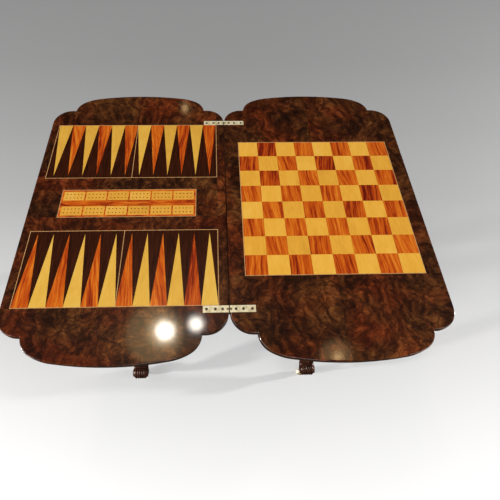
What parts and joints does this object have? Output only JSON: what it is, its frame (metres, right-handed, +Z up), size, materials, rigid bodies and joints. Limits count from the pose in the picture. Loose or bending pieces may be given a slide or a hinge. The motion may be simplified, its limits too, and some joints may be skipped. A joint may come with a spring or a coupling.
{
  "type": "games and sewing table",
  "caption": "Work table with a swivelling fold-over games top for chess, backgammon and cribbage, a fitted drawer and a sliding sewing well, on carved end supports with castors.",
  "frame": {"origin": "on the floor, below the middle of the open top", "axes": "+Z up, +X across the two open leaves towards the chess leaf, -Y towards the player and the drawer's knobs"},
  "size_m": [0.856, 0.7018, 0.712],
  "materials": {
    "burr_walnut": "glossy french polished burr veneer",
    "satinwood": "polished satinwood veneer",
    "rosewood": "polished tulipwood and rosewood veneer",
    "boxwood_line": "polished boxwood line",
    "ebonised_ground": "polished ebonised veneer",
    "walnut_veneer": "polished walnut veneer",
    "walnut_turned": "polished turned walnut",
    "walnut_carved": "polished carved walnut",
    "drawer_lining_wood": "waxed plain timber",
    "green_baize": "wool baize",
    "lining_paper": "printed lining paper",
    "cushion_velvet": "silk velvet",
    "brass": "worn polished brass",
    "brass_screw": "worn brass",
    "iron": "blackened iron",
    "porcelain": "glazed white porcelain"
  },
  "bodies": {
    "frame": {"carcass_ends": "walnut_veneer", "carcass_back": "walnut_veneer", "front_rails": "walnut_veneer", "dustboard": "drawer_lining_wood", "drawer_runners": "drawer_lining_wood", "compartment_partition": "drawer_lining_wood", "compartment_baize": "green_baize", "pivot_board": "drawer_lining_wood", "slide_felts": "green_baize", "frieze_moulding": "walnut_carved", "well_runners": "drawer_lining_wood", "bearers": "walnut_carved", "columns": "walnut_turned", "trestles": "walnut_carved", "legs": "walnut_carved", "stretcher": "walnut_turned", "stretcher_finial": "walnut_turned", "castor_plates": "brass"},
    "base_leaf": {"chess_leaf": "burr_walnut", "chess_pale_squares": "satinwood", "chess_rosewood_squares": "rosewood", "chess_stringing": "boxwood_line", "chess_hinge_plates": "brass", "chess_leaf_screws": "brass_screw", "pivot_plate": "iron", "pivot_bolt": "iron", "pivot_nut": "iron", "stop_peg": "iron"},
    "links": {"hinge_links": "brass"},
    "flap": {"backgammon_leaf": "burr_walnut", "backgammon_ground": "ebonised_ground", "backgammon_pale_points": "satinwood", "backgammon_rosewood_points": "rosewood", "flap_stringing": "boxwood_line", "cribbage_plates": "satinwood", "cribbage_frame": "rosewood", "flap_hinge_plates": "brass", "flap_screws": "brass_screw"},
    "drawer": {"drawer_front": "walnut_veneer", "drawer_sides": "drawer_lining_wood", "drawer_back": "drawer_lining_wood", "drawer_bottom": "drawer_lining_wood", "drawer_dividers": "drawer_lining_wood", "drawer_knobs": "walnut_turned", "pincushion": "cushion_velvet"},
    "work_well": {"well_frame": "walnut_veneer", "well_walls": "walnut_veneer", "well_ends": "walnut_veneer", "well_base": "walnut_carved", "well_lining": "lining_paper", "well_drop": "walnut_turned", "well_knobs": "walnut_turned"},
    "castor_front_right": {"castor_fork_front_right": "brass"},
    "wheel_front_right": {"castor_wheel_front_right": "porcelain"},
    "castor_front_left": {"castor_fork_front_left": "brass"},
    "wheel_front_left": {"castor_wheel_front_left": "porcelain"},
    "castor_back_right": {"castor_fork_back_right": "brass"},
    "wheel_back_right": {"castor_wheel_back_right": "porcelain"},
    "castor_back_left": {"castor_fork_back_left": "brass"},
    "wheel_back_left": {"castor_wheel_back_left": "porcelain"}
  },
  "joints": [
    {"name": "top_swivel", "type": "hinge", "parent": "frame", "child": "base_leaf", "pos_m": [0.10725, 0.10725, 0.694], "axis": [0, 0, 1], "range_deg": [-90, 0]},
    {"name": "link_turn", "type": "hinge", "parent": "base_leaf", "child": "links", "pos_m": [0.003, 0, 0.7098], "axis": [0, 1, 0], "range_deg": [0, 90]},
    {"name": "flap_turn", "type": "hinge", "parent": "links", "child": "flap", "pos_m": [-0.003, 0, 0.7098], "axis": [0, 1, 0], "range_deg": [0, 90]},
    {"name": "drawer_slide", "type": "slide", "parent": "frame", "child": "drawer", "axis": [0, -1, 0], "range_m": [0, 0.24]},
    {"name": "well_slide", "type": "slide", "parent": "frame", "child": "work_well", "axis": [0, -1, 0], "range_m": [0, 0.22]},
    {"name": "castor_swivel_front_right", "type": "hinge", "parent": "frame", "child": "castor_front_right", "pos_m": [0.282, -0.222, 0.038], "axis": [0, 0, 1], "continuous": true},
    {"name": "castor_roll_front_right", "type": "hinge", "parent": "castor_front_right", "child": "wheel_front_right", "pos_m": [0.268, -0.222, 0.015], "axis": [0, 1, 0], "continuous": true},
    {"name": "castor_swivel_front_left", "type": "hinge", "parent": "frame", "child": "castor_front_left", "pos_m": [-0.282, -0.222, 0.038], "axis": [0, 0, 1], "continuous": true},
    {"name": "castor_roll_front_left", "type": "hinge", "parent": "castor_front_left", "child": "wheel_front_left", "pos_m": [-0.27838, -0.20848, 0.015], "axis": [0.9659, -0.2588, 0], "continuous": true},
    {"name": "castor_swivel_back_right", "type": "hinge", "parent": "frame", "child": "castor_back_right", "pos_m": [0.282, 0.222, 0.038], "axis": [0, 0, 1], "continuous": true},
    {"name": "castor_roll_back_right", "type": "hinge", "parent": "castor_back_right", "child": "wheel_back_right", "pos_m": [0.26931, 0.21608, 0.015], "axis": [-0.4226, 0.9063, 0], "continuous": true},
    {"name": "castor_swivel_back_left", "type": "hinge", "parent": "frame", "child": "castor_back_left", "pos_m": [-0.282, 0.222, 0.038], "axis": [0, 0, 1], "continuous": true},
    {"name": "castor_roll_back_left", "type": "hinge", "parent": "castor_back_left", "child": "wheel_back_left", "pos_m": [-0.28679, 0.23516, 0.015], "axis": [0.9397, 0.342, 0], "continuous": true}
  ]
}
